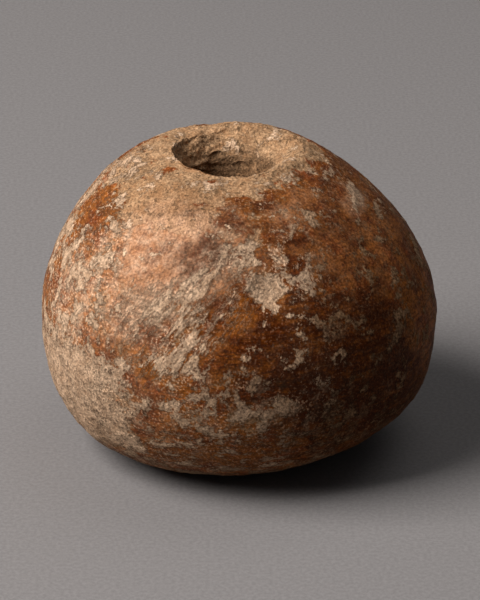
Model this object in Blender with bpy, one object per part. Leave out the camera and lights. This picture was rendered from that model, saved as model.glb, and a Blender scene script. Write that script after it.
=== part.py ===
"""Clay spindle whorl: a squat, hand-shaped weight of fired clay with a spindle hole through it.

Metres, +Z up. The whorl stands on its flat underside with the origin at the bottom centre, +X to its right
and +Y to its back.
"""

import math

import bmesh
import bpy
from mathutils import Vector
from mathutils.geometry import interpolate_bezier

MM = 0.001

# The body: widest at the belly, flat where it stands
BELLY_WIDTH = 40.0 * MM
BODY_HEIGHT = 30.8 * MM
BELLY_HEIGHT = 13.4 * MM
BASE_WIDTH = 20.2 * MM

# The worn mouth: its crest, and the throat where the funnel meets the spindle hole
CREST_WIDTH = 13.0 * MM
THROAT_WIDTH = 8.2 * MM
THROAT_DEPTH = 4.4 * MM

# The spindle hole, straight below the throat, and its lower mouth that the spindle rubbed wider
HOLE_WIDTH = 7.2 * MM
HOLE_TOP_DEPTH = 9.5 * MM
FOOT_MOUTH_WIDTH = 9.0 * MM
FOOT_MOUTH_DEPTH = 2.2 * MM

# How far each circle of the hand-shaped form sits to the right of the middle, or to the back of it
BASE_OFFSET = -0.9 * MM
CREST_SET_BACK = 0.9 * MM
THROAT_OFFSET = -1.9 * MM
THROAT_SET_BACK = -0.3 * MM
HOLE_TOP_OFFSET = -1.0 * MM
HOLE_FOOT_OFFSET = -0.5 * MM

# How much higher the belly is on the right, and the crest at the back, than in the middle
BELLY_TILT = 0.12 * MM
CREST_TILT = 0.2 * MM

# Fullness of the outline, as shares of each rise and run: the mean, and what the right side has over it
FOOT_RUN = (0.81, -0.06)
FOOT_RISE = (0.18, 0.10)
UNDERBELLY_RISE = (0.32, -0.24)
SHOULDER_RISE = (0.52, 0.046)
BROW_RUN = (0.27, -0.22)
LIP_RUN = (0.28, 0.20)
FUNNEL_RISE = (0.45, -0.20)

# Facets: columns around the whorl, and rings along each run of its outline
COLUMNS = 84
RING_COUNTS = {
    "underside": 2, "lower wall": 11, "upper wall": 14, "funnel": 8, "throat": 3, "hole": 4, "foot mouth": 2,
}

# Wear that shows from a step away. Place: degrees from the right, run of the outline and share along it;
# then how far it reaches and how deep it goes. A negative depth stands proud.
WEAR = {
    "front of the lip, rubbed low": (-108, "upper wall", 1.0, 4.4 * MM, 0.25 * MM),
    "right of the lip, rubbed round": (-42, "upper wall", 0.98, 4.2 * MM, 0.30 * MM),
    "thick clay at the front right of the funnel": (-40, "funnel", 0.40, 4.0 * MM, -0.90 * MM),
    "crumbled hollow behind the hole": (118, "funnel", 0.43, 4.0 * MM, 0.90 * MM),
    "notch in the back rim": (64, "funnel", 0.12, 1.2 * MM, 0.20 * MM),
    "scar on the front": (-81, "upper wall", 0.36, 2.4 * MM, 0.42 * MM),
    "flaked hollow left of the scar": (-101, "upper wall", 0.22, 3.4 * MM, 0.18 * MM),
    "lump beside the scar": (-112, "upper wall", 0.45, 3.0 * MM, -0.10 * MM),
    "pit low on the right": (-66, "lower wall", 0.72, 1.5 * MM, 0.20 * MM),
    "chip low on the left": (-150, "lower wall", 0.55, 2.4 * MM, 0.18 * MM),
    "hollow high on the back": (75, "upper wall", 0.40, 4.5 * MM, 0.22 * MM),
    "chip on the back": (150, "lower wall", 0.75, 2.8 * MM, 0.28 * MM),
}
# Wear fades out over this height above the underside, so that the whorl keeps its flat foot
FOOT_KEPT = 3.0 * MM

# The clay as its weathered slip leaves it
CLAY_COLOUR = (0.30, 0.13, 0.055, 1.0)
CLAY_ROUGHNESS = 0.62


def clear_scene():
    for item in list(bpy.data.objects):
        bpy.data.objects.remove(item, do_unlink=True)


def share_at(azimuth, pair):
    """A share that changes evenly from the left of the whorl to the right."""
    mean, over = pair
    return mean + over * math.cos(azimuth)


def on_circle(azimuth, width, height, offset=0.0, set_back=0.0):
    """A point of a circle around the whorl, whose centre may be off the middle."""
    radius = width / 2
    return Vector((offset + radius * math.cos(azimuth), set_back + radius * math.sin(azimuth), height))


def outward(start, end, run, height):
    """The point a share of the way out from start to end, at a height of its own."""
    spot = start.lerp(end, run)
    spot.z = height
    return spot


def above(point, height):
    return Vector((point.x, point.y, height))


def straight(start, end):
    """A straight run, as the four control points of a curve."""
    return start, start.lerp(end, 1 / 3), start.lerp(end, 2 / 3), end


def outline_at(azimuth):
    """The runs of the outline at one azimuth, each as the four control points of a curve."""
    belly_height = BELLY_HEIGHT + BELLY_TILT * math.cos(azimuth)
    crest_height = BODY_HEIGHT - CREST_TILT + CREST_TILT * math.sin(azimuth)
    throat_height = BODY_HEIGHT - THROAT_DEPTH
    base = on_circle(azimuth, BASE_WIDTH, 0.0, BASE_OFFSET)
    belly = on_circle(azimuth, BELLY_WIDTH, belly_height)
    crest = on_circle(azimuth, CREST_WIDTH, crest_height, set_back=CREST_SET_BACK)
    throat = on_circle(azimuth, THROAT_WIDTH, throat_height, THROAT_OFFSET, THROAT_SET_BACK)
    hole_top = on_circle(azimuth, HOLE_WIDTH, BODY_HEIGHT - HOLE_TOP_DEPTH, HOLE_TOP_OFFSET)
    hole_foot = on_circle(azimuth, HOLE_WIDTH, FOOT_MOUTH_DEPTH, HOLE_FOOT_OFFSET)
    foot_mouth = on_circle(azimuth, FOOT_MOUTH_WIDTH, 0.0, HOLE_FOOT_OFFSET)

    foot = outward(base, belly, share_at(azimuth, FOOT_RUN), belly_height * share_at(azimuth, FOOT_RISE))
    underbelly = above(belly, foot.z + belly_height * share_at(azimuth, UNDERBELLY_RISE))
    shoulder = above(belly, belly_height + (crest_height - belly_height) * share_at(azimuth, SHOULDER_RISE))
    brow = outward(crest, belly, share_at(azimuth, BROW_RUN), crest_height)
    lip = outward(crest, throat, share_at(azimuth, LIP_RUN), crest_height)
    funnel_wall = above(throat, throat_height + THROAT_DEPTH * share_at(azimuth, FUNNEL_RISE))
    foot_edge = above(hole_foot, FOOT_MOUTH_DEPTH / 2)

    return {
        "underside": straight(foot_mouth, base),
        "lower wall": (base, foot, underbelly, belly),
        "upper wall": (belly, shoulder, brow, crest),
        "funnel": (crest, lip, funnel_wall, throat),
        "throat": straight(throat, hole_top),
        "hole": straight(hole_top, hole_foot),
        "foot mouth": (hole_foot, foot_edge, foot_edge.lerp(foot_mouth, 0.5), foot_mouth),
    }


def place_of_wear(degrees, run, share):
    """The spot on the unworn form where a piece of wear is centred."""
    start, first, second, end = outline_at(math.radians(degrees))[run]
    left = 1 - share
    return (left ** 3 * start + 3 * left ** 2 * share * first
            + 3 * left * share ** 2 * second + share ** 3 * end)


def worn(point, spots, heart):
    """The point after wear: pulled towards the heart of the whorl by every spot that reaches it."""
    pull = 0.0
    for centre, reach, depth in spots:
        nearness = 1 - ((point - centre).length / reach) ** 2
        if nearness > 0:
            pull += depth * nearness ** 2
    kept = min(1.0, max(0.0, point.z / FOOT_KEPT))
    return point + (heart - point).normalized() * pull * kept


def worn_rings():
    """Every level of the surface, each a list of points around the whorl."""
    heart = Vector((0.0, 0.0, BELLY_HEIGHT))
    spots = [(place_of_wear(*spot[:3]), spot[3], spot[4]) for spot in WEAR.values()]
    rings = [[] for _ in range(sum(RING_COUNTS.values()))]
    for column in range(COLUMNS):
        azimuth = math.tau * column / COLUMNS
        outline = outline_at(azimuth)
        level = 0
        for run, count in RING_COUNTS.items():
            # The last point of a run is the first of the next one
            for point in interpolate_bezier(*outline[run], count + 1)[:-1]:
                rings[level].append(worn(point, spots, heart))
                level += 1
    return rings


def centred_on_base(rings):
    """Moves the form so that its box stands centred on the origin."""
    points = [point for ring in rings for point in ring]
    middle = Vector((
        (min(point.x for point in points) + max(point.x for point in points)) / 2,
        (min(point.y for point in points) + max(point.y for point in points)) / 2,
        min(point.z for point in points),
    ))
    return [[point - middle for point in ring] for ring in rings]


def clay_material():
    material = bpy.data.materials.new("slipped clay")
    material.use_nodes = True
    shader = material.node_tree.nodes["Principled BSDF"]
    shader.inputs["Base Color"].default_value = CLAY_COLOUR
    shader.inputs["Roughness"].default_value = CLAY_ROUGHNESS
    shader.inputs["Metallic"].default_value = 0.0
    material.diffuse_color = CLAY_COLOUR
    return material


def make_whorl():
    """The whorl's one piece of clay: a ring of facets that closes through the spindle hole."""
    shape = bmesh.new()
    levels = [[shape.verts.new(point) for point in ring] for ring in centred_on_base(worn_rings())]
    for below, over in zip(levels, levels[1:] + levels[:1]):
        for column in range(COLUMNS):
            after = (column + 1) % COLUMNS
            shape.faces.new((below[column], below[after], over[after], over[column]))
    bmesh.ops.recalc_face_normals(shape, faces=shape.faces)
    mesh = bpy.data.meshes.new("whorl_body")
    shape.to_mesh(mesh)
    shape.free()
    mesh.shade_smooth()
    mesh.materials.append(clay_material())
    whorl = bpy.data.objects.new("whorl_body", mesh)
    bpy.context.scene.collection.objects.link(whorl)
    return whorl


clear_scene()
make_whorl()
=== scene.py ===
import math

import bpy
import numpy as np
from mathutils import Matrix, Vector


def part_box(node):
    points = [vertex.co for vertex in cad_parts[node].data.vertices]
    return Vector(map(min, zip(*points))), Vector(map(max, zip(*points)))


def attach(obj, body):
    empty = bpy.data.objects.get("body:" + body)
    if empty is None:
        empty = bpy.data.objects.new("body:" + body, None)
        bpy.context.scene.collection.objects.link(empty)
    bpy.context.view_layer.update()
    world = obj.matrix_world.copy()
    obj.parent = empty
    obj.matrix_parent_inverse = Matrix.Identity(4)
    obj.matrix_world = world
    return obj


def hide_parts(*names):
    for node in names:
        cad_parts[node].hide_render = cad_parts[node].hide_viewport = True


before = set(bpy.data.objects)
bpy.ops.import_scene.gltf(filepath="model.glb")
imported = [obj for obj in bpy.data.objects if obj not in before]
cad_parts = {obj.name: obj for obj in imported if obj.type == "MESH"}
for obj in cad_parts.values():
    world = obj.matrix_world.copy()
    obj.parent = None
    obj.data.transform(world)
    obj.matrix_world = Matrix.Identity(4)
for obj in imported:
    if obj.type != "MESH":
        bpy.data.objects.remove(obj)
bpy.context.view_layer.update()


# The lump of clay
# Buff clay patted into a round weight around a stick, smoothed by hand and fired, so that no side is quite
# like another. It is widest low down and stands on a small flat, and its mouth has worn into a funnel above
# the hole.

MM = 0.001
low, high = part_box("whorl_body")
FORM = {
    "Belly Width": high.x - low.x,
    "Body Height": high.z - low.z,
    "Belly Height": 13.4 * MM,
    "Base Width": 20.2 * MM,
    "Crest Width": 13.0 * MM,
    "Throat Width": 8.2 * MM,
    "Throat Depth": 4.4 * MM,
    "Hole Width": 7.2 * MM,
    "Hole Top Depth": 9.5 * MM,
    "Foot Mouth Width": 9.0 * MM,
    "Foot Mouth Depth": 2.2 * MM,
}
COLUMNS = 440
RINGS = {
    "underside": 8, "lower wall": 62, "upper wall": 92, "funnel": 36, "throat": 8, "hole": 6, "foot mouth": 4,
}
# Circles of the form that sit off the middle: to the right, and to the back
OFF_MIDDLE = {
    "base": (-0.9 * MM, 0.0),
    "crest": (0.0, 0.9 * MM),
    "throat": (-1.9 * MM, -0.3 * MM),
    "hole top": (-1.0 * MM, 0.0),
    "hole foot": (-0.5 * MM, 0.0),
}
# How much higher the belly is on the right, and the crest at the back, than in the middle
BELLY_TILT = 0.12 * MM
CREST_TILT = 0.2 * MM
# Shares of each rise and run: the mean, and what the right side has over it
FULLNESS = {
    "foot run": (0.81, -0.06),
    "foot rise": (0.18, 0.10),
    "underbelly": (0.32, -0.24),
    "shoulder": (0.52, 0.046),
    "brow": (0.27, -0.22),
    "lip": (0.28, 0.20),
    "funnel wall": (0.45, -0.20),
}


def add(tree, kind, feeds=(), **settings):
    """Adds a node, sets it up, and feeds its inputs with sockets or plain values."""
    node = tree.nodes.new(kind)
    for name, value in settings.items():
        setattr(node, name, value)
    for key, value in dict(feeds).items():
        if isinstance(value, bpy.types.NodeSocket):
            tree.links.new(value, node.inputs[key])
        else:
            node.inputs[key].default_value = value
    return node


def calc(tree, operation, *terms, **settings):
    return add(tree, "ShaderNodeMath", enumerate(terms), operation=operation, **settings).outputs[0]


def vector(tree, x, y, z):
    return add(tree, "ShaderNodeCombineXYZ", enumerate((x, y, z))).outputs[0]


def blend(tree, share, start, end):
    """A vector a share of the way from start to end."""
    feeds = {0: share, 4: start, 5: end}
    return add(tree, "ShaderNodeMix", feeds, data_type="VECTOR").outputs[1]


def at_height(tree, spot, height):
    level = add(tree, "ShaderNodeSeparateXYZ", {0: spot}).outputs
    return vector(tree, level[0], level[1], height)


def along_curve(tree, share, controls):
    """The point of a curve at a share of its length, by blending its control points pair by pair."""
    while len(controls) > 1:
        controls = [blend(tree, share, start, end) for start, end in zip(controls, controls[1:])]
    return controls[0]


def ended(tree, last, material):
    """Ends a tree: what its last node gives is made real and gets its material."""
    real = add(tree, "GeometryNodeRealizeInstances", {"Geometry": last.outputs[0]})
    finished = add(tree, "GeometryNodeSetMaterial", {"Geometry": real.outputs[0], "Material": material})
    add(tree, "NodeGroupOutput", {"Geometry": finished.outputs[0]})
    return tree


def form_tree():
    """The outline swept round the spindle hole: a grid for each run of it, bent into place and merged."""
    tree = bpy.data.node_groups.new("whorl form", "GeometryNodeTree")
    for name in FORM:
        tree.interface.new_socket(name, in_out="INPUT", socket_type="NodeSocketFloat")
    tree.interface.new_socket("Columns", in_out="INPUT", socket_type="NodeSocketInt")
    tree.interface.new_socket("Clay", in_out="INPUT", socket_type="NodeSocketMaterial")
    tree.interface.new_socket("Geometry", in_out="OUTPUT", socket_type="NodeSocketGeometry")
    given = tree.nodes.new("NodeGroupInput").outputs
    flat_place = tree.nodes.new("GeometryNodeInputPosition").outputs[0]
    sheet = add(tree, "ShaderNodeSeparateXYZ", {0: flat_place}).outputs
    azimuth = calc(tree, "MULTIPLY_ADD", sheet[0], math.tau, math.pi)
    share = calc(tree, "ADD", sheet[1], 0.5)
    right, back = calc(tree, "COSINE", azimuth), calc(tree, "SINE", azimuth)

    def shaped(name):
        mean, over = FULLNESS[name]
        return calc(tree, "MULTIPLY_ADD", right, over, mean)

    def circle(width, height, name=None):
        offset, set_back = OFF_MIDDLE.get(name, (0.0, 0.0))
        radius = calc(tree, "MULTIPLY", given[width], 0.5)
        x = calc(tree, "MULTIPLY_ADD", right, radius, offset)
        y = calc(tree, "MULTIPLY_ADD", back, radius, set_back)
        return vector(tree, x, y, height)

    belly_height = calc(tree, "MULTIPLY_ADD", right, BELLY_TILT, given["Belly Height"])
    mean_crest = calc(tree, "SUBTRACT", given["Body Height"], CREST_TILT)
    crest_height = calc(tree, "MULTIPLY_ADD", back, CREST_TILT, mean_crest)
    throat_height = calc(tree, "SUBTRACT", given["Body Height"], given["Throat Depth"])
    hole_top_height = calc(tree, "SUBTRACT", given["Body Height"], given["Hole Top Depth"])
    base = circle("Base Width", 0.0, "base")
    belly = circle("Belly Width", belly_height)
    crest = circle("Crest Width", crest_height, "crest")
    throat = circle("Throat Width", throat_height, "throat")
    hole_top = circle("Hole Width", hole_top_height, "hole top")
    hole_foot = circle("Hole Width", given["Foot Mouth Depth"], "hole foot")
    foot_mouth = circle("Foot Mouth Width", 0.0, "hole foot")

    foot_height = calc(tree, "MULTIPLY", belly_height, shaped("foot rise"))
    foot = at_height(tree, blend(tree, shaped("foot run"), base, belly), foot_height)
    under_height = calc(tree, "MULTIPLY_ADD", belly_height, shaped("underbelly"), foot_height)
    underbelly = at_height(tree, belly, under_height)
    rise = calc(tree, "SUBTRACT", crest_height, belly_height)
    shoulder = at_height(tree, belly, calc(tree, "MULTIPLY_ADD", rise, shaped("shoulder"), belly_height))
    brow = at_height(tree, blend(tree, shaped("brow"), crest, belly), crest_height)
    lip = at_height(tree, blend(tree, shaped("lip"), crest, throat), crest_height)
    wall_height = calc(tree, "MULTIPLY_ADD", given["Throat Depth"], shaped("funnel wall"), throat_height)
    funnel_wall = at_height(tree, throat, wall_height)
    foot_edge = at_height(tree, hole_foot, calc(tree, "MULTIPLY", given["Foot Mouth Depth"], 0.5))
    runs = {
        "underside": (foot_mouth, base),
        "lower wall": (base, foot, underbelly, belly),
        "upper wall": (belly, shoulder, brow, crest),
        "funnel": (crest, lip, funnel_wall, throat),
        "throat": (throat, hole_top),
        "hole": (hole_top, hole_foot),
        "foot mouth": (hole_foot, foot_edge, blend(tree, 0.5, foot_edge, foot_mouth), foot_mouth),
    }

    join = tree.nodes.new("GeometryNodeJoinGeometry")
    corners_around = calc(tree, "ADD", given["Columns"], 1.0)
    for number, (run, controls) in enumerate(runs.items()):
        counts = {"Size X": 1.0, "Size Y": 1.0, "Vertices X": corners_around, "Vertices Y": RINGS[run] + 1}
        grid = add(tree, "GeometryNodeMeshGrid", counts)
        bent = add(tree, "GeometryNodeSetPosition", {
            "Geometry": grid.outputs["Mesh"], "Position": along_curve(tree, share, controls)})
        marked = add(tree, "GeometryNodeStoreNamedAttribute", {
            "Geometry": bent.outputs[0], "Name": "run", "Value": float(number)},
            data_type="FLOAT", domain="POINT")
        tree.links.new(marked.outputs[0], join.inputs[0])
    merged = add(tree, "GeometryNodeMergeByDistance", {"Geometry": join.outputs[0], "Distance": 0.001 * MM})
    smooth = add(tree, "GeometryNodeSetShadeSmooth", {"Geometry": merged.outputs[0]})
    return ended(tree, smooth, given["Clay"])


def worked(piece, tree, values):
    """Runs a node tree on a piece with its named inputs, and leaves the piece as a plain mesh."""
    modifier = piece.modifiers.new(tree.name, "NODES")
    modifier.node_group = tree
    sockets = {s.name: s.identifier for s in tree.interface.items_tree if s.in_out == "INPUT"}
    for name, value in values.items():
        modifier[sockets[name]] = value
    graph = bpy.context.evaluated_depsgraph_get()
    shaped = bpy.data.meshes.new_from_object(piece.evaluated_get(graph))
    piece.modifiers.clear()
    piece.data = shaped
    return shaped


clay = bpy.data.materials.new("weathered slip on clay")
whorl = bpy.data.objects.new("weathered_whorl", bpy.data.meshes.new("weathered_whorl"))
bpy.context.scene.collection.objects.link(whorl)
form = worked(whorl, form_tree(), FORM | {"Columns": COLUMNS, "Clay": clay})


# Dents, scars and rubbed edges
# Knocks and long handling have rubbed the lip low at the front and right, scarred the front and broken
# small chips from the foot. Each is pressed towards the heart of the clay, and fades out above the flat
# underside.

HEART = np.array((0.0, 0.0, FORM["Belly Height"]))
FOOT_KEPT = 3.0 * MM
# The two sides of the clay, by the number of the run that a point is on: the outer wall, and the funnel down
# to the end of the hole
WALL, FUNNEL = (0.5, 2.5), (2.5, 5.5)
# Degrees from the right, height, reach and depth in mm; a negative depth stands proud
WALL_WEAR = {
    "front of the lip": (-108, 30.41, 4.4, 0.25),
    "right of the lip": (-42, 30.46, 4.2, 0.30),
    "scar on the front": (-81, 22.41, 2.4, 0.42),
    "flaked hollow left of the scar": (-101, 18.98, 3.4, 0.18),
    "lump beside the scar": (-112, 24.11, 3.0, -0.10),
    "pit low on the right": (-66, 8.12, 1.5, 0.20),
    "chip low on the left": (-150, 6.00, 2.4, 0.18),
    "lump on the right shoulder": (-18, 26.90, 2.2, -0.14),
    "hollow below the lump": (-32, 24.60, 3.0, 0.12),
    "hollow high on the back": (75, 23.53, 4.5, 0.22),
    "chip on the back": (150, 9.27, 2.8, 0.28),
}
FUNNEL_WEAR = {
    "thick clay at the front right of the funnel": (-40, 29.4, 4.0, -0.90),
    "crumbled hollow behind the hole": (118, 29.8, 4.0, 0.90),
    "notch in the back rim": (64, 30.67, 1.2, 0.20),
}
# Degrees from the right and how far to either side, then in mm: top, how soon it starts below that, bottom,
# and depth
UNDERCUTS = {
    "wall broken away under a ledge behind the hole": (112, 46, 28.1, 1.0, 24.0, 0.42),
    "thick clay left of the hole": (180, 60, 30.7, 2.6, 24.0, -0.45),
}


def read_vectors(data, name):
    values = np.empty(len(data) * 3, np.float32)
    data.foreach_get(name, values)
    return values.reshape(-1, 3)


places = read_vectors(form.vertices, "co")
run_of = np.empty(len(places), np.float32)
form.attributes["run"].data.foreach_get("value", run_of)


def nearest_to(side, degrees, height):
    """The point of one side of the clay, the outer wall or the funnel, at a direction and a height."""
    azimuth = math.radians(degrees)
    around = np.array((-math.sin(azimuth), math.cos(azimuth), 0.0))
    outward = np.array((math.cos(azimuth), math.sin(azimuth), 0.0))
    on_side = (run_of > side[0]) & (run_of < side[1]) & (places @ outward > 0)
    miss = (places @ around) ** 2 + (places[:, 2] - height * MM) ** 2 + np.where(on_side, 0.0, 1.0)
    return miss.argmin(), around


def press(spots, side):
    """How far each point is pressed in by the wear on one side of the clay."""
    pull = np.zeros(len(places))
    for degrees, height, reach, depth in spots.values():
        centre = places[nearest_to(side, degrees, height)[0]]
        nearness = 1 - (np.linalg.norm(places - centre, axis=1) / (reach * MM)) ** 2
        pull += depth * MM * np.clip(nearness, 0, 1) ** 2
    return pull


def wandering():
    """A gentle pull on every place, made of random waves, so that no patch or ledge has an even outline."""
    random = np.random.default_rng(7)
    pull = np.zeros_like(places)
    for wave in (5.0, 3.4, 2.3, 1.6, 1.1, 1.1):
        for axis in range(3):
            heading = random.normal(size=3)
            heading *= math.tau / (wave * MM * np.linalg.norm(heading))
            pull[:, axis] += 0.08 * wave * MM * np.sin(places @ heading + random.uniform(0, math.tau))
    return pull


def eased(share):
    share = np.clip(share, 0, 1)
    return share * share * (3 - 2 * share)


inward = HEART - places
inward /= np.linalg.norm(inward, axis=1, keepdims=True)
pull = press(WALL_WEAR, WALL) + press(FUNNEL_WEAR, FUNNEL)
places += inward * (pull * np.clip(places[:, 2] / FOOT_KEPT, 0, 1))[:, None]
strayed = places + wandering()
turned = np.degrees(np.arctan2(places[:, 1], places[:, 0]))
height = strayed[:, 2] / MM
from_axis = places[:, :2] / np.linalg.norm(places[:, :2], axis=1, keepdims=True)
for degrees, spread, top, start, bottom, depth in UNDERCUTS.values():
    aside = (turned - degrees + 180) % 360 - 180
    reach = eased(1.5 - 1.5 * (aside / spread) ** 2)
    reach = reach * eased((top - height) / start) * eased((height - bottom) / 2)
    places[:, :2] += from_axis * (depth * MM * reach * (run_of > FUNNEL[0]))[:, None]
form.vertices.foreach_set("co", places.ravel())
form.update()
facings = read_vectors(form.vertices, "normal")


# What survives of the finish, side by side
# The whole outside was once coated in red slip and burnished. Use and burial have left it in patches, with
# pale crust where it lay in limy soil. Each map of what survives is laid on in strokes, the broad ones mostly
# before the small.

# In mm: how far a stroke reaches into the clay, and the height where the mouth starts and how soon it is full
STROKE_DEPTH = 10
MOUTH_START, MOUTH_FADE = 29.0, 1.3


def stroke(side, degrees, height, wide, tall, turn=0.0, soft=0.6):
    """How much of one stroke each point gets. Height and half sizes in mm, turned to the left of level."""
    nearest, around = nearest_to(side, degrees, height)
    upward = np.cross(facings[nearest], around)
    gap = strayed - places[nearest]
    level, rise = gap @ around, gap @ upward
    lean = math.radians(turn)
    across = level * math.cos(lean) + rise * math.sin(lean)
    along = rise * math.cos(lean) - level * math.sin(lean)
    deep = gap @ facings[nearest]
    reach = (across / (wide * MM)) ** 2 + (along / (tall * MM)) ** 2 + (deep / (STROKE_DEPTH * MM)) ** 2
    reach = np.sqrt(reach)
    return eased((1.0 + soft / 2 - reach) / soft)


def paint(name, ground, strokes, mouth):
    """Lays the mouth's own value and then the strokes over a ground value, as a named map on the clay."""
    value = np.full(len(places), ground, np.float32)
    in_mouth = np.maximum(eased((height - MOUTH_START) / MOUTH_FADE), run_of > FUNNEL[0])
    value += (mouth - value) * in_mouth
    for target, *shape in strokes:
        value += (target - value) * stroke(*shape)
    form.attributes.new(name, "FLOAT", "POINT").data.foreach_set("value", value)


# Target and side, then degrees from the right, height, half width, half height, turn and softness
paint("slip", 0.84, [
    (1.00, WALL, -112, 25.0, 7.0, 3.8, 0, 0.8),
    (-0.05, WALL, -126, 28.9, 9.0, 3.3, 0, 0.5),
    (0.20, WALL, -92, 29.0, 5.0, 1.5, 0, 0.9),
    (0.92, WALL, -165, 25.2, 4.0, 5.4, 0, 0.5),
    (0.45, WALL, 172, 26.5, 3.0, 6.0, 0, 0.8),
    (0.10, WALL, 180, 29.4, 6.0, 2.4, 0, 0.8),
    (0.40, WALL, -146, 9.0, 9.5, 5.5, 0, 0.8),
    (0.45, WALL, 100, 9.0, 10.0, 5.5, 0, 0.9),
    (1.00, WALL, 40, 19.0, 9.0, 6.0, 20, 0.9),
    (0.55, WALL, 130, 26.0, 6.0, 3.0, 0, 0.9),
    (0.98, WALL, -116, 13.4, 2.2, 3.4, 0, 0.8),
    (0.88, WALL, -82, 28.3, 4.0, 2.0, 0, 0.8),
    (0.88, WALL, -52, 27.6, 4.4, 2.4, 0, 0.9),
    (1.00, WALL, -76, 18.0, 7.5, 5.2, 0, 0.7),
    (1.00, WALL, -93, 21.0, 1.8, 2.8, -10, 0.7),
    (0.96, WALL, -32, 20.0, 11.0, 14.0, 0, 0.7),
    (1.00, WALL, -66, 25.1, 1.9, 1.4, 30, 0.4),
    (1.00, WALL, -82, 25.2, 0.9, 1.1, 0, 0.5),
    (1.00, WALL, -91, 26.4, 0.8, 0.8, 0, 0.5),
    (1.00, WALL, -87, 24.0, 0.6, 0.6, 0, 0.5),
    (0.05, WALL, -82, 22.4, 1.9, 1.3, 0, 0.4),
], -0.05)
paint("crust", 0.24, [
    (0.46, WALL, -95, 2.2, 13.0, 2.8, 0, 0.9),
    (0.42, WALL, -20, 2.2, 13.0, 2.8, 0, 0.9),
    (0.04, WALL, -112, 25.4, 8.0, 4.4, 0, 0.6),
    (0.00, WALL, -124, 28.6, 8.0, 2.6, 0, 0.8),
    (0.18, WALL, -165, 25.2, 4.0, 5.4, 0, 0.5),
    (0.50, WALL, 172, 26.5, 3.0, 6.0, 0, 0.8),
    (0.44, WALL, -146, 24.4, 2.4, 3.0, 0, 0.9),
    (0.40, WALL, -155, 19.8, 5.5, 5.5, 0, 0.6),
    (0.52, WALL, -172, 21.8, 2.6, 3.0, 0, 0.9),
    (0.45, WALL, -131, 14.2, 3.0, 2.2, 0, 0.9),
    (0.84, WALL, -146, 9.2, 9.5, 6.0, 0, 0.8),
    (0.62, WALL, 100, 8.0, 10.0, 5.0, 0, 0.9),
    (0.10, WALL, 40, 19.0, 9.0, 6.0, 20, 0.9),
    (0.50, WALL, 0, 9.0, 6.0, 5.0, 0, 0.9),
    (0.20, WALL, -127, 16.4, 2.6, 1.3, 0, 0.8),
    (0.12, WALL, -116, 13.4, 2.2, 3.4, 0, 0.8),
    (0.50, WALL, -110, 22.4, 5.0, 1.1, 50, 0.7),
    (0.50, WALL, -107, 17.0, 2.4, 4.8, -12, 0.7),
    (0.46, WALL, -84, 24.8, 3.4, 2.8, 0, 0.6),
    (0.66, WALL, -64, 24.8, 4.0, 3.0, 0, 0.5),
    (0.84, WALL, -58, 26.3, 2.2, 1.5, 0, 0.7),
    (0.80, WALL, -62, 23.4, 2.4, 0.9, 0, 0.7),
    (0.18, WALL, -82, 28.4, 4.0, 1.8, 0, 0.8),
    (0.06, WALL, -52, 28.0, 4.6, 1.9, 0, 0.7),
    (0.16, WALL, -93, 21.0, 1.8, 2.8, -10, 0.7),
    (0.10, WALL, -76, 18.0, 7.0, 4.4, 0, 0.6),
    (0.13, WALL, -30, 24.0, 9.0, 7.0, 0, 0.7),
    (0.13, WALL, -36, 13.5, 11.0, 7.5, 0, 0.7),
    (0.60, WALL, -15, 26.9, 1.6, 0.9, 0, 0.9),
    (0.31, WALL, -88, 8.2, 14.0, 4.2, 0, 0.7),
    (0.58, WALL, -79, 11.5, 3.0, 1.0, 10, 0.8),
    (0.50, WALL, -103, 11.0, 2.6, 1.3, 0, 0.8),
    (0.28, WALL, -45, 6.0, 8.0, 3.0, 0, 0.8),
    (0.00, WALL, -66, 25.1, 1.9, 1.4, 30, 0.4),
    (0.00, WALL, -82, 25.2, 0.7, 1.0, 0, 0.8),
    (0.00, WALL, -91, 26.4, 0.7, 0.7, 0, 0.8),
    (0.00, WALL, -87, 24.0, 0.5, 0.5, 0, 0.8),
    (0.95, WALL, -82, 22.4, 1.9, 1.3, 0, 0.4),
    (0.90, WALL, -50, 27.0, 0.4, 0.8, 0, 0.8),
    (0.50, WALL, -60, 18.7, 2.0, 0.9, 40, 0.8),
    (0.45, WALL, -38, 16.0, 1.4, 0.9, 0, 0.8),
    (0.44, WALL, -87, 14.9, 2.4, 1.0, 0, 0.8),
], 0.12)
paint("tone", 0.50, [
    (0.34, WALL, -160, 24.0, 10.0, 10.0, 0, 0.7),
    (0.30, WALL, -125, 13.0, 9.0, 6.0, 0, 0.7),
    (0.16, WALL, -120, 25.0, 8.0, 5.0, 0, 0.8),
    (0.80, WALL, -106, 25.2, 4.0, 2.0, 10, 1.2),
    (0.75, WALL, 40, 19.0, 9.0, 6.0, 20, 0.9),
    (0.68, WALL, -84, 28.2, 3.8, 2.2, 0, 0.8),
    (0.80, WALL, -69, 18.0, 8.5, 5.5, 0, 0.7),
    (0.98, WALL, -46, 12.0, 12.0, 8.0, 0, 0.8),
    (0.50, WALL, -93, 21.0, 2.2, 3.0, -10, 0.8),
    (0.35, WALL, -22, 20.0, 5.0, 9.0, 0, 0.8),
    (0.72, WALL, -66, 25.1, 2.2, 1.8, 0, 0.8),
    (0.42, WALL, -100, 7.5, 8.0, 4.0, 0, 0.8),
    (0.60, WALL, -112, 28.9, 9.0, 1.7, 0, 0.9),
    (0.12, WALL, -129, 21.0, 5.5, 4.5, 0, 0.8),
], 0.3)
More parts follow.
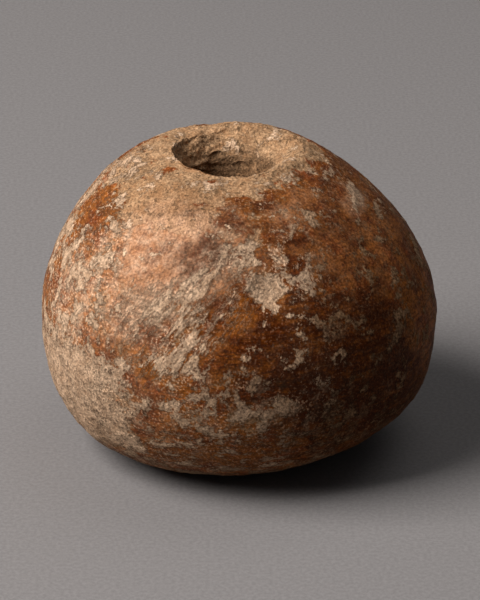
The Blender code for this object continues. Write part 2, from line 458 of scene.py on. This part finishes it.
paint("blush", 0.05, [
    (0.95, WALL, -118, 25.6, 7.0, 4.8, 0, 1.0),
    (0.95, WALL, -129, 21.0, 6.0, 4.6, 0, 0.9),
    (0.55, WALL, -148, 20.0, 4.5, 5.0, 0, 1.2),
    (0.50, WALL, 150, 20.0, 7.0, 6.0, 0, 0.9),
    (0.50, WALL, -52, 27.8, 4.5, 2.0, 0, 0.9),
    (0.15, WALL, -30, 25.0, 9.0, 6.0, 0, 0.7),
    (0.80, WALL, -15, 26.9, 2.4, 1.4, 0, 0.9),
    (0.40, WALL, -140, 10.0, 9.0, 6.0, 0, 0.7),
    (0.00, WALL, -90, 19.5, 3.2, 4.0, 0, 0.9),
], 0.1)
paint("scored", 0.0, [
    (1.0, WALL, -108, 20.5, 8.5, 4.5, 50, 0.7),
], 0.0)
# Soil stain together with painted shade: heavy down in the hole, along the foot at the front and on the
# shaded right, light on the lit left.
paint("soil_and_shade", 0.25, [
    (0.10, WALL, -150, 20.0, 9.0, 12.0, 0, 0.7),
    (0.06, WALL, -120, 21.0, 8.0, 7.0, 0, 0.8),
    (0.10, WALL, -140, 9.0, 9.0, 6.0, 0, 0.7),
    (0.38, WALL, -84, 7.5, 14.0, 4.5, 0, 0.8),
    (1.00, WALL, -36, 16.0, 14.0, 17.0, 0, 0.9),
    (0.60, WALL, -80, 15.5, 7.0, 4.0, 0, 0.9),
    (1.00, WALL, -46, 6.0, 9.0, 5.0, 0, 0.9),
    (0.70, WALL, -95, 1.8, 13.0, 2.6, 0, 0.9),
    (0.10, WALL, -15, 26.9, 2.4, 1.4, 0, 0.9),
    (0.15, WALL, -80, 22.8, 5.0, 4.0, 0, 0.8),
    (1.00, FUNNEL, 126, 25.5, 6.5, 2.6, 0, 0.6),
], 0.05)
paint("crumbled", 0.0, [
    (1.0, FUNNEL, 100, 29.4, 6.5, 3.0, 0, 0.6),
], 0.45)
paint("pitted", 0.0, [
    (1.0, WALL, -76.5, 14.2, 0.5, 0.5, 0, 0.8),
    (0.32, WALL, -140, 9.0, 9.0, 6.0, 0, 0.6),
], 0.12)


# The relief of the wear
# Crust stands a little proud, flaked places lie a little low, and bare clay is pitted where its grit fell
# out. The same patterns drive the relief here and the colours of the finish, so that both follow one another.


def fine_noise(tree, place, size, detail=4.0, rough=0.6, stretch=(1.0, 1.0, 1.0), seed=0.0):
    """Cloudy patches about a size across, spread over 0 to 1. Stretch divides the size along each axis."""
    shifted = add(tree, "ShaderNodeVectorMath", {0: place, 1: stretch, 2: (seed, seed * 1.7, seed * 2.3)},
                  operation="MULTIPLY_ADD").outputs[0]
    feeds = {"Vector": shifted, "Scale": 1 / size, "Detail": detail, "Roughness": rough}
    noise = add(tree, "ShaderNodeTexNoise", feeds, normalize=False)
    return calc(tree, "MULTIPLY_ADD", noise.outputs[0], 1.1 * math.sqrt(1 - rough ** 2), 0.5, use_clamp=True)


def between(tree, share, start, end):
    """A number a share of the way from start to end."""
    return calc(tree, "MULTIPLY_ADD", calc(tree, "SUBTRACT", end, start), share, start)


def surplus(tree, cover, pattern):
    """How thick a patchy layer still is: 0 along its broken edges, and less where it is gone."""
    return calc(tree, "SUBTRACT", calc(tree, "ADD", cover, pattern), 1.0)


def shown(tree, level, edge):
    """Where a layer is there at all, as a mask."""
    feeds = {"Value": level, "From Min": -edge, "From Max": edge}
    return add(tree, "ShaderNodeMapRange", feeds, interpolation_type="SMOOTHSTEP").outputs[0]


SCORE_SLANT = math.radians(52)
# Wear runs in level bands low down on the wall, from the first height down, and most below the second
BANDS_START, BANDS_FULL = 12.5 * MM, 8.5 * MM


def surface_patterns(tree, place, maps, detail, edge):
    """The patterns of wear that both the relief and the finish are made from."""
    flaky = fine_noise(tree, place, 2.0 * MM, detail, 0.74, seed=0.013)
    patchy = fine_noise(tree, place, 2.6 * MM, detail, 0.76, seed=0.031)
    bands = fine_noise(tree, place, 1.3 * MM, detail, 0.79, (0.35, 0.35, 1.7), 0.071)
    slanted = add(tree, "ShaderNodeVectorRotate", {"Vector": place, "Angle": SCORE_SLANT},
                  rotation_type="Y_AXIS").outputs[0]
    scores = fine_noise(tree, slanted, 1.0 * MM, detail, 0.70, (0.28, 0.8, 1.6), 0.053)
    height = add(tree, "ShaderNodeSeparateXYZ", {0: place}).outputs[2]
    low_down = add(tree, "ShaderNodeMapRange", {
        "Value": height, "From Min": BANDS_START, "From Max": BANDS_FULL, "To Max": 0.45}).outputs[0]
    crust = between(tree, calc(tree, "MULTIPLY", maps["scored"], 0.75), flaky, scores)
    crust = between(tree, low_down, crust, bands)
    slip = between(tree, calc(tree, "ADD", calc(tree, "MULTIPLY", low_down, 0.4), 0.2), patchy, bands)
    crust_left = surplus(tree, maps["crust"], crust)
    slip_left = surplus(tree, maps["slip"], slip)
    return {
        "flaky": flaky, "patchy": patchy, "scores": scores, "bands": bands,
        "crust left": crust_left, "slip left": slip_left,
        "slip": shown(tree, slip_left, edge), "crust": shown(tree, crust_left, edge),
    }


RELIEF = {
    "Crust Height": 0.05 * MM,
    "Slip Height": 0.02 * MM,
    "Grit Depth": 0.10 * MM,
    "Crumbling": 0.36 * MM,
    "Unevenness": 0.14 * MM,
    "Score Depth": 0.18 * MM,
}
# The relief is full from this height up, and the flat underside stays flat
RELIEF_START = 0.6 * MM


def relief_tree():
    tree = bpy.data.node_groups.new("worn relief", "GeometryNodeTree")
    tree.interface.new_socket("Geometry", in_out="INPUT", socket_type="NodeSocketGeometry")
    for name in RELIEF:
        tree.interface.new_socket(name, in_out="INPUT", socket_type="NodeSocketFloat")
    tree.interface.new_socket("Clay", in_out="INPUT", socket_type="NodeSocketMaterial")
    tree.interface.new_socket("Geometry", in_out="OUTPUT", socket_type="NodeSocketGeometry")
    given = tree.nodes.new("NodeGroupInput").outputs
    place = tree.nodes.new("GeometryNodeInputPosition").outputs[0]
    maps = {name: add(tree, "GeometryNodeInputNamedAttribute", {"Name": name}, data_type="FLOAT").outputs[0]
            for name in ("slip", "crust", "scored", "crumbled")}
    kept = add(tree, "GeometryNodeStoreNamedAttribute", {
        "Geometry": given["Geometry"], "Name": "unworn_place", "Value": place},
        data_type="FLOAT_VECTOR", domain="POINT")
    patterns = surface_patterns(tree, place, maps, 3.0, 0.12)
    lift = calc(tree, "MULTIPLY", patterns["crust"], given["Crust Height"])
    lift = calc(tree, "MULTIPLY_ADD", patterns["slip"], given["Slip Height"], lift)
    grit = fine_noise(tree, place, 1.1 * MM, 3.0, 0.6, seed=0.083)
    lost_grit = calc(tree, "MULTIPLY", grit, calc(tree, "SUBTRACT", 1.0, patterns["slip"]))
    lift = calc(tree, "SUBTRACT", lift, calc(tree, "MULTIPLY", lost_grit, given["Grit Depth"]))
    layers = fine_noise(tree, place, 1.5 * MM, 4.0, 0.65, (0.5, 0.5, 1.8), 0.097)
    crumbs = calc(tree, "MULTIPLY", calc(tree, "MULTIPLY", layers, maps["crumbled"]), given["Crumbling"])
    lift = calc(tree, "SUBTRACT", lift, crumbs)
    waves = fine_noise(tree, place, 4.2 * MM, 2.0, 0.5, seed=0.041)
    lift = calc(tree, "SUBTRACT", lift, calc(tree, "MULTIPLY", waves, given["Unevenness"]))
    scoring = calc(tree, "MULTIPLY", calc(tree, "SUBTRACT", 1.0, patterns["scores"]), maps["scored"])
    lift = calc(tree, "SUBTRACT", lift, calc(tree, "MULTIPLY", scoring, given["Score Depth"]))
    # All of it is sunk by the height of the layers, so that nothing stands past the clay's own outline
    lift = calc(tree, "SUBTRACT", lift, calc(tree, "ADD", given["Crust Height"], given["Slip Height"]))
    height = add(tree, "ShaderNodeSeparateXYZ", {0: place}).outputs[2]
    above_foot = add(tree, "ShaderNodeMapRange", {
        "Value": height, "From Min": 0.0, "From Max": RELIEF_START}).outputs[0]
    facing = tree.nodes.new("GeometryNodeInputNormal").outputs[0]
    shift = add(tree, "ShaderNodeVectorMath", {
        0: facing, "Scale": calc(tree, "MULTIPLY", lift, above_foot)}, operation="SCALE").outputs[0]
    moved = add(tree, "GeometryNodeSetPosition", {"Geometry": kept.outputs[0], "Offset": shift})
    return ended(tree, moved, given["Clay"])


worked(whorl, relief_tree(), RELIEF | {"Clay": clay})


# The finish: slip, bare clay and crust
# Thin red-brown slip rubbed to a soft sheen, orange where it has faded and nearly black-brown where it is
# thick. Under it shows gritty buff clay, and over both lies a dull cream and grey crust of lime and soil.

BUFF = (0.50, 0.320, 0.180, 1.0)
OCHRE = (0.35, 0.185, 0.088, 1.0)
SLIP_ORANGE = (0.34, 0.105, 0.014, 1.0)
SLIP_RED = (0.26, 0.058, 0.018, 1.0)
SLIP_BROWN = (0.060, 0.012, 0.001, 1.0)
SALMON = (0.51, 0.288, 0.172, 1.0)
MAUVE = (0.15, 0.066, 0.036, 1.0)
CREAM = (0.70, 0.48, 0.32, 1.0)
GREY_CRUST = (0.36, 0.225, 0.138, 1.0)
# Brown crust for soil stain and for painted shade, where the map of soil stain and painted shade is high.
STAINED_AND_SHADED_CRUST = (0.19, 0.10, 0.045, 1.0)
# Dark brown for dirt and for painted shade, in hollows, crevices and pits and on the shaded side.
GRIME_AND_SHADE = (0.06, 0.03, 0.013, 1.0)


def tinted(tree, share, under, over):
    """One colour laid over another by a share."""
    feeds = {0: share, 6: under, 7: over}
    return add(tree, "ShaderNodeMix", feeds, data_type="RGBA").outputs[2]


def thin_lines(tree, pattern, level, width):
    """Thin lines that wind through a pattern along one of its levels."""
    gap = calc(tree, "ABSOLUTE", calc(tree, "SUBTRACT", pattern, level))
    feeds = {"Value": gap, "From Min": width, "From Max": width * 0.3}
    return add(tree, "ShaderNodeMapRange", feeds).outputs[0]


def bare_clay(tree, maps, speckled):
    """Buff clay, ochre where it is darker, and dulled by soil stain and by painted shade."""
    paleness = calc(tree, "SUBTRACT", calc(tree, "ADD", speckled, 0.3), maps["tone"], use_clamp=True)
    colour = tinted(tree, paleness, OCHRE, BUFF)
    return tinted(tree, calc(tree, "MULTIPLY", maps["soil_and_shade"], 0.7), colour, GRIME_AND_SHADE)


def slip_skin(tree, maps, patterns, brushed, specks):
    """Slip in patches of orange and red, browner where it is thick and along its bands."""
    tone = calc(tree, "MULTIPLY_ADD", patterns["bands"], 0.25, calc(tree, "ADD", maps["tone"], -0.5))
    tone = calc(tree, "MULTIPLY_ADD", brushed, 0.25, tone)
    tone = calc(tree, "MULTIPLY_ADD", specks, 0.3, tone)
    tone = calc(tree, "MULTIPLY_ADD", patterns["slip left"], 0.35, tone, use_clamp=True)
    redder = calc(tree, "MULTIPLY_ADD", patterns["patchy"], 1.3, -0.55, use_clamp=True)
    orange = tinted(tree, tone, SLIP_ORANGE, SLIP_BROWN)
    return tinted(tree, redder, orange, tinted(tree, tone, SLIP_RED, SLIP_BROWN))


def crust_skin(tree, maps, edge_highlight_and_lift, speckled):
    """Crust that is cream along its edges as a painted highlight, greyer inside them, and brown with soil
    stain and painted shade.
    """
    pale = calc(tree, "MULTIPLY_ADD", speckled, 1.3, calc(tree, "ADD", edge_highlight_and_lift, -0.64), use_clamp=True)
    colour = tinted(tree, pale, GREY_CRUST, CREAM)
    return tinted(tree, calc(tree, "MULTIPLY", maps["soil_and_shade"], 0.9), colour, STAINED_AND_SHADED_CRUST)


def crust_dust(tree, maps, clouds, specks):
    """How much of the crust lies as dust between its patches: most near them, on the blush and where soil
    stain and painted shade are mapped.
    """
    dust = calc(tree, "ADD", between(tree, 0.4, clouds, specks), -1.08)
    dust = calc(tree, "MULTIPLY_ADD", maps["blush"], 0.45, dust)
    dust = calc(tree, "MULTIPLY_ADD", maps["soil_and_shade"], 0.25, dust)
    return calc(tree, "MULTIPLY_ADD", maps["crust"], 1.1, dust, use_clamp=True)


def raised_crust(tree, maps, patterns):
    """Where crust stands proud: its patches, the ridges between scores, and the thin edges of flakes."""
    ridges = calc(tree, "MULTIPLY", thin_lines(tree, patterns["scores"], 0.55, 0.09), maps["scored"])
    flakes = calc(tree, "MAXIMUM", thin_lines(tree, patterns["flaky"], 0.60, 0.035),
                  thin_lines(tree, patterns["bands"], 0.60, 0.04))
    flakes = calc(tree, "MULTIPLY", flakes, calc(tree, "MULTIPLY", maps["crust"], 1.5, use_clamp=True))
    return calc(tree, "MAXIMUM", calc(tree, "MAXIMUM", ridges, flakes), patterns["crust"])


def crevice_dirt_and_shade(tree, maps, patterns):
    """Fine lines of dirt and painted shade, down in the scores and along the outlines of the crust."""
    in_scores = calc(tree, "MULTIPLY", thin_lines(tree, patterns["scores"], 0.38, 0.06), maps["scored"])
    outlines = calc(tree, "MULTIPLY", thin_lines(tree, patterns["crust left"], -0.05, 0.04), maps["crust"])
    return calc(tree, "MAXIMUM", in_scores, outlines)


def finish_clay(material):
    """Lays the finish on from the bare clay up: slip, blush, dust, crust with a painted highlight on its
    edges, dirt with painted shade, and flecks.
    """
    material.use_nodes = True
    tree = material.node_tree
    shader = tree.nodes["Principled BSDF"]
    place = add(tree, "ShaderNodeAttribute", attribute_name="unworn_place").outputs["Vector"]
    maps = {name: add(tree, "ShaderNodeAttribute", attribute_name=name).outputs["Fac"]
            for name in ("slip", "crust", "tone", "blush", "scored", "pitted", "soil_and_shade")}
    patterns = surface_patterns(tree, place, maps, 7.0, 0.035)
    grain = fine_noise(tree, place, 0.24 * MM, 2.0, 0.6, seed=0.09)
    specks = fine_noise(tree, place, 0.55 * MM, 3.0, 0.75, seed=0.117)
    clouds = fine_noise(tree, place, 1.4 * MM, 4.0, 0.65, seed=0.147)
    brushed = fine_noise(tree, place, 0.7 * MM, 3.0, 0.7, (0.12, 0.12, 1.6), 0.163)
    speckled = between(tree, 0.5, clouds, specks)
    # A painted highlight: crust is paler along its broken edges than inside them, and stands a little higher
    # there in the bump.
    edge_highlight_and_lift = add(tree, "ShaderNodeMapRange", {
        "Value": patterns["crust left"], "From Min": 0.04, "From Max": 0.22,
        "To Min": 1.0, "To Max": 0.6}).outputs[0]
    crust = crust_skin(tree, maps, edge_highlight_and_lift, speckled)
    raised = raised_crust(tree, maps, patterns)

    slip = slip_skin(tree, maps, patterns, brushed, specks)
    colour = tinted(tree, patterns["slip"], bare_clay(tree, maps, speckled), slip)
    blotched = calc(tree, "MULTIPLY_ADD", clouds, 0.6, 0.5)
    faded = calc(tree, "MULTIPLY", maps["blush"], blotched, use_clamp=True)
    cloudy = calc(tree, "ADD", patterns["patchy"], calc(tree, "ADD", maps["tone"], -0.60), use_clamp=True)
    colour = tinted(tree, faded, colour, tinted(tree, cloudy, SALMON, MAUVE))
    colour = tinted(tree, crust_dust(tree, maps, clouds, specks), colour, crust)
    colour = tinted(tree, raised, colour, crust)
    # Dirt and painted shade in the scores and around the crust.
    colour = tinted(tree, calc(tree, "MULTIPLY", crevice_dirt_and_shade(tree, maps, patterns), 0.5), colour, GRIME_AND_SHADE)
    flecks = shown(tree, surplus(tree, calc(tree, "MULTIPLY_ADD", maps["crust"], 0.42, -0.02), grain), 0.10)
    flecks = calc(tree, "MULTIPLY", flecks, calc(tree, "MULTIPLY_ADD", maps["crust"], 1.2, 0.1))
    colour = tinted(tree, flecks, colour, crust)
    dull = calc(tree, "MAXIMUM", patterns["crust"], calc(tree, "SUBTRACT", 1.0, patterns["slip"]))
    pitting = calc(tree, "MULTIPLY_ADD", maps["pitted"], 0.5, calc(tree, "MULTIPLY", dull, 0.08))
    # Pits: dark grains, with painted shade down in them.
    pits = shown(tree, surplus(tree, pitting, specks), 0.06)
    colour = tinted(tree, calc(tree, "MULTIPLY", pits, 0.6), colour, GRIME_AND_SHADE)
    # Speckle with painted light and shade of the grit: the colour goes lighter and darker with the grain,
    # more so where soil stain and painted shade are mapped.
    shade = add(tree, "ShaderNodeMix", {0: 1.0, 6: colour}, data_type="RGBA", blend_type="MULTIPLY")
    grain_contrast = calc(tree, "MULTIPLY_ADD", maps["soil_and_shade"], 0.3, 0.6)
    grain_speckle_and_shade = calc(tree, "MULTIPLY_ADD", calc(tree, "SUBTRACT", grain, 0.5), grain_contrast, 1.0)
    tree.links.new(vector(tree, grain_speckle_and_shade, grain_speckle_and_shade, grain_speckle_and_shade), shade.inputs[7])
    tree.links.new(shade.outputs[2], shader.inputs["Base Color"])
    tree.links.new(calc(tree, "MULTIPLY_ADD", dull, 0.35, 0.50), shader.inputs["Roughness"])
    shader.inputs["Specular IOR Level"].default_value = 0.05

    # The finest relief, in mm, which is too small for the mesh
    height = calc(tree, "MULTIPLY", calc(tree, "MULTIPLY", raised, edge_highlight_and_lift), 0.14)
    height = calc(tree, "MULTIPLY_ADD", patterns["slip"], 0.02, height)
    height = calc(tree, "MULTIPLY_ADD", grain, calc(tree, "MULTIPLY_ADD", dull, 0.04, 0.004), height)
    height = calc(tree, "MULTIPLY_ADD", pits, -0.05, height)
    height = calc(tree, "MULTIPLY_ADD", specks, calc(tree, "MULTIPLY_ADD", dull, 0.06, 0.01), height)
    bump = add(tree, "ShaderNodeBump", {"Height": height, "Strength": 1.0, "Distance": MM})
    tree.links.new(bump.outputs[0], shader.inputs["Normal"])


finish_clay(clay)
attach(whorl, "root")
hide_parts("whorl_body")


# The table, the light and the camera
# A sheet of plain grey paper, one broad soft lamp from the upper left, a far weaker one overhead with a
# little light coming back from the room, and a long lens looking down on the whorl from the front.

PAPER_WIDTH = 3.0
PALE_FIBRES = (0.210, 0.200, 0.202, 1.0)
DARK_FIBRES = (0.170, 0.162, 0.163, 1.0)
half = PAPER_WIDTH / 2
corners = [(-half, -half, 0), (half, -half, 0), (half, half, 0), (-half, half, 0)]
paper = bpy.data.meshes.new("paper")
paper.from_pydata(corners, [], [(0, 1, 2, 3)])
floor = bpy.data.objects.new("paper", paper)
bpy.context.scene.collection.objects.link(floor)
grey = bpy.data.materials.new("grey paper")
grey.use_nodes = True
paper_shader = grey.node_tree.nodes["Principled BSDF"]
paper_place = add(grey.node_tree, "ShaderNodeTexCoord").outputs["Object"]
fibres = fine_noise(grey.node_tree, paper_place, 0.4 * MM, 4.0, 0.7)
paper_colour = tinted(grey.node_tree, fibres, DARK_FIBRES, PALE_FIBRES)
grey.node_tree.links.new(paper_colour, paper_shader.inputs["Base Color"])
paper_shader.inputs["Roughness"].default_value = 0.9
paper.materials.append(grey)


def aimed(thing, place, target):
    thing.location = place
    thing.rotation_euler = (Vector(target) - Vector(place)).to_track_quat("-Z", "Y").to_euler()
    bpy.context.scene.collection.objects.link(thing)
    return thing


def softbox(name, place, width, power, colour):
    lamp = bpy.data.lights.new(name, "AREA")
    lamp.size = width
    lamp.energy = power
    lamp.color = colour
    return aimed(bpy.data.objects.new(name, lamp), place, LAMP_AIM)


LAMP_AIM = (0.0, 0.0, 0.012)
softbox("left softbox", (-0.356, -0.108, 0.405), 0.36, 5.3, (1.0, 0.96, 0.92))
softbox("overhead softbox", (0.20, 0.16, 0.50), 0.40, 0.55, (1.0, 0.97, 0.94))
world = bpy.data.worlds.new("room")
world.use_nodes = True
world.node_tree.nodes["Background"].inputs["Color"].default_value = (0.95, 0.97, 1.0, 1.0)
world.node_tree.nodes["Background"].inputs["Strength"].default_value = 0.060
bpy.context.scene.world = world

CAMERA_DISTANCE = 0.380
CAMERA_ELEVATION = math.radians(24)
CAMERA_AIM = Vector((0.0001, 0.0, 0.01438))
FOCAL_LENGTH, SENSOR_WIDTH = 226.1, 36.0  # mm, as a camera counts them
lens = bpy.data.cameras.new("camera")
lens.lens = FOCAL_LENGTH
lens.sensor_width = SENSOR_WIDTH
lens.clip_start = 0.01
to_camera = Vector((0.0, -math.cos(CAMERA_ELEVATION), math.sin(CAMERA_ELEVATION)))
camera = aimed(bpy.data.objects.new("camera", lens), CAMERA_AIM + to_camera * CAMERA_DISTANCE, CAMERA_AIM)
bpy.context.scene.camera = camera
bpy.context.scene.view_settings.view_transform = "Standard"
